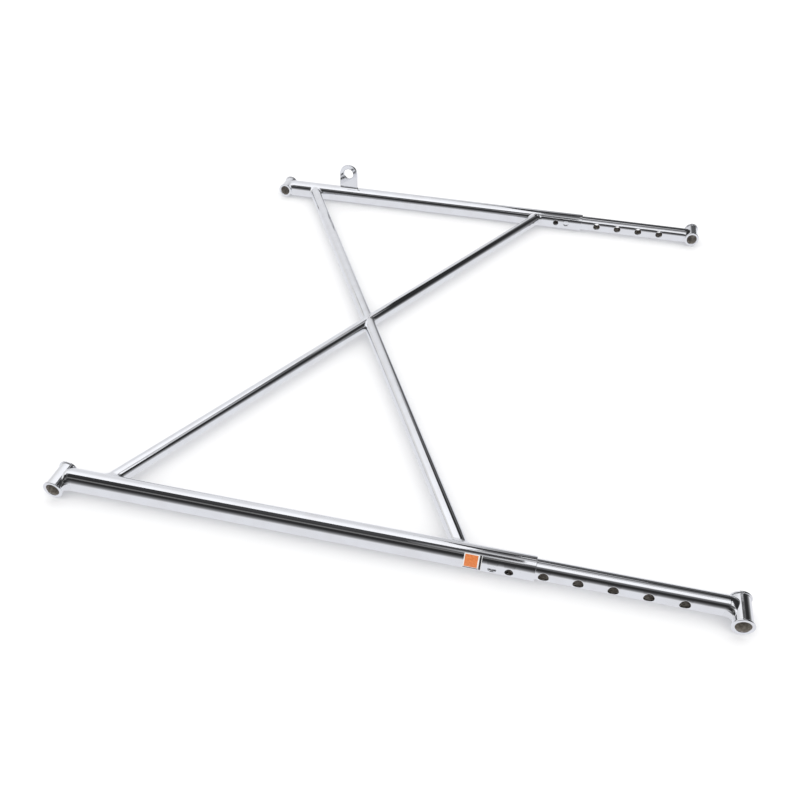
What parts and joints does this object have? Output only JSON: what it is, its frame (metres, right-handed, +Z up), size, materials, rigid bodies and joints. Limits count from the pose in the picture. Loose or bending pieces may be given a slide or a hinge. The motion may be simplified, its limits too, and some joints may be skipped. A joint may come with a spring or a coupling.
{
  "type": "kart chassis strut frame",
  "caption": "Flat chromed kart strut frame: parallel rails tied by a welded X brace, each with a telescoping inner tube and a cross bung at both ends.",
  "frame": {"origin": "under the middle of the whole part's box, on the surface that the rails lie on", "axes": "+X along the rails towards their sliding ends, +Y from the right rail to the left rail, +Z up from the plane that the frame lies on"},
  "size_m": [0.5542, 0.6188, 0.0488],
  "materials": {
    "chromed_rail": "polished",
    "chromed_slider": "polished",
    "chromed_brace": "polished",
    "chromed_bung": "polished",
    "chromed_plate": "polished",
    "chromed_weld": "plated over a rippled bead",
    "label_film": "printed film"
  },
  "bodies": {
    "frame": {"right_rail_tube": "chromed_rail", "right_fixed_bung": "chromed_bung", "right_fixed_bung_weld": "chromed_weld", "left_rail_tube": "chromed_rail", "left_fixed_bung": "chromed_bung", "left_fixed_bung_weld": "chromed_weld", "long_brace": "chromed_brace", "right_half_brace": "chromed_brace", "left_half_brace": "chromed_brace", "long_brace_left_weld": "chromed_weld", "long_brace_right_weld": "chromed_weld", "right_half_brace_weld": "chromed_weld", "left_half_brace_weld": "chromed_weld", "right_crossing_weld": "chromed_weld", "left_crossing_weld": "chromed_weld", "mounting_tab": "chromed_plate", "mounting_tab_weld": "chromed_weld", "rail_label": "label_film"},
    "right_slider": {"right_slider_tube": "chromed_slider", "right_sliding_bung": "chromed_bung", "right_sliding_bung_weld": "chromed_weld"},
    "left_slider": {"left_slider_tube": "chromed_slider", "left_sliding_bung": "chromed_bung", "left_sliding_bung_weld": "chromed_weld"}
  },
  "joints": [
    {"name": "right_slide", "type": "slide", "parent": "frame", "child": "right_slider", "axis": [1, 0, 0], "range_m": [-0.127, 0]},
    {"name": "left_slide", "type": "slide", "parent": "frame", "child": "left_slider", "axis": [1, 0, 0], "range_m": [-0.1143, 0.0127]}
  ]
}
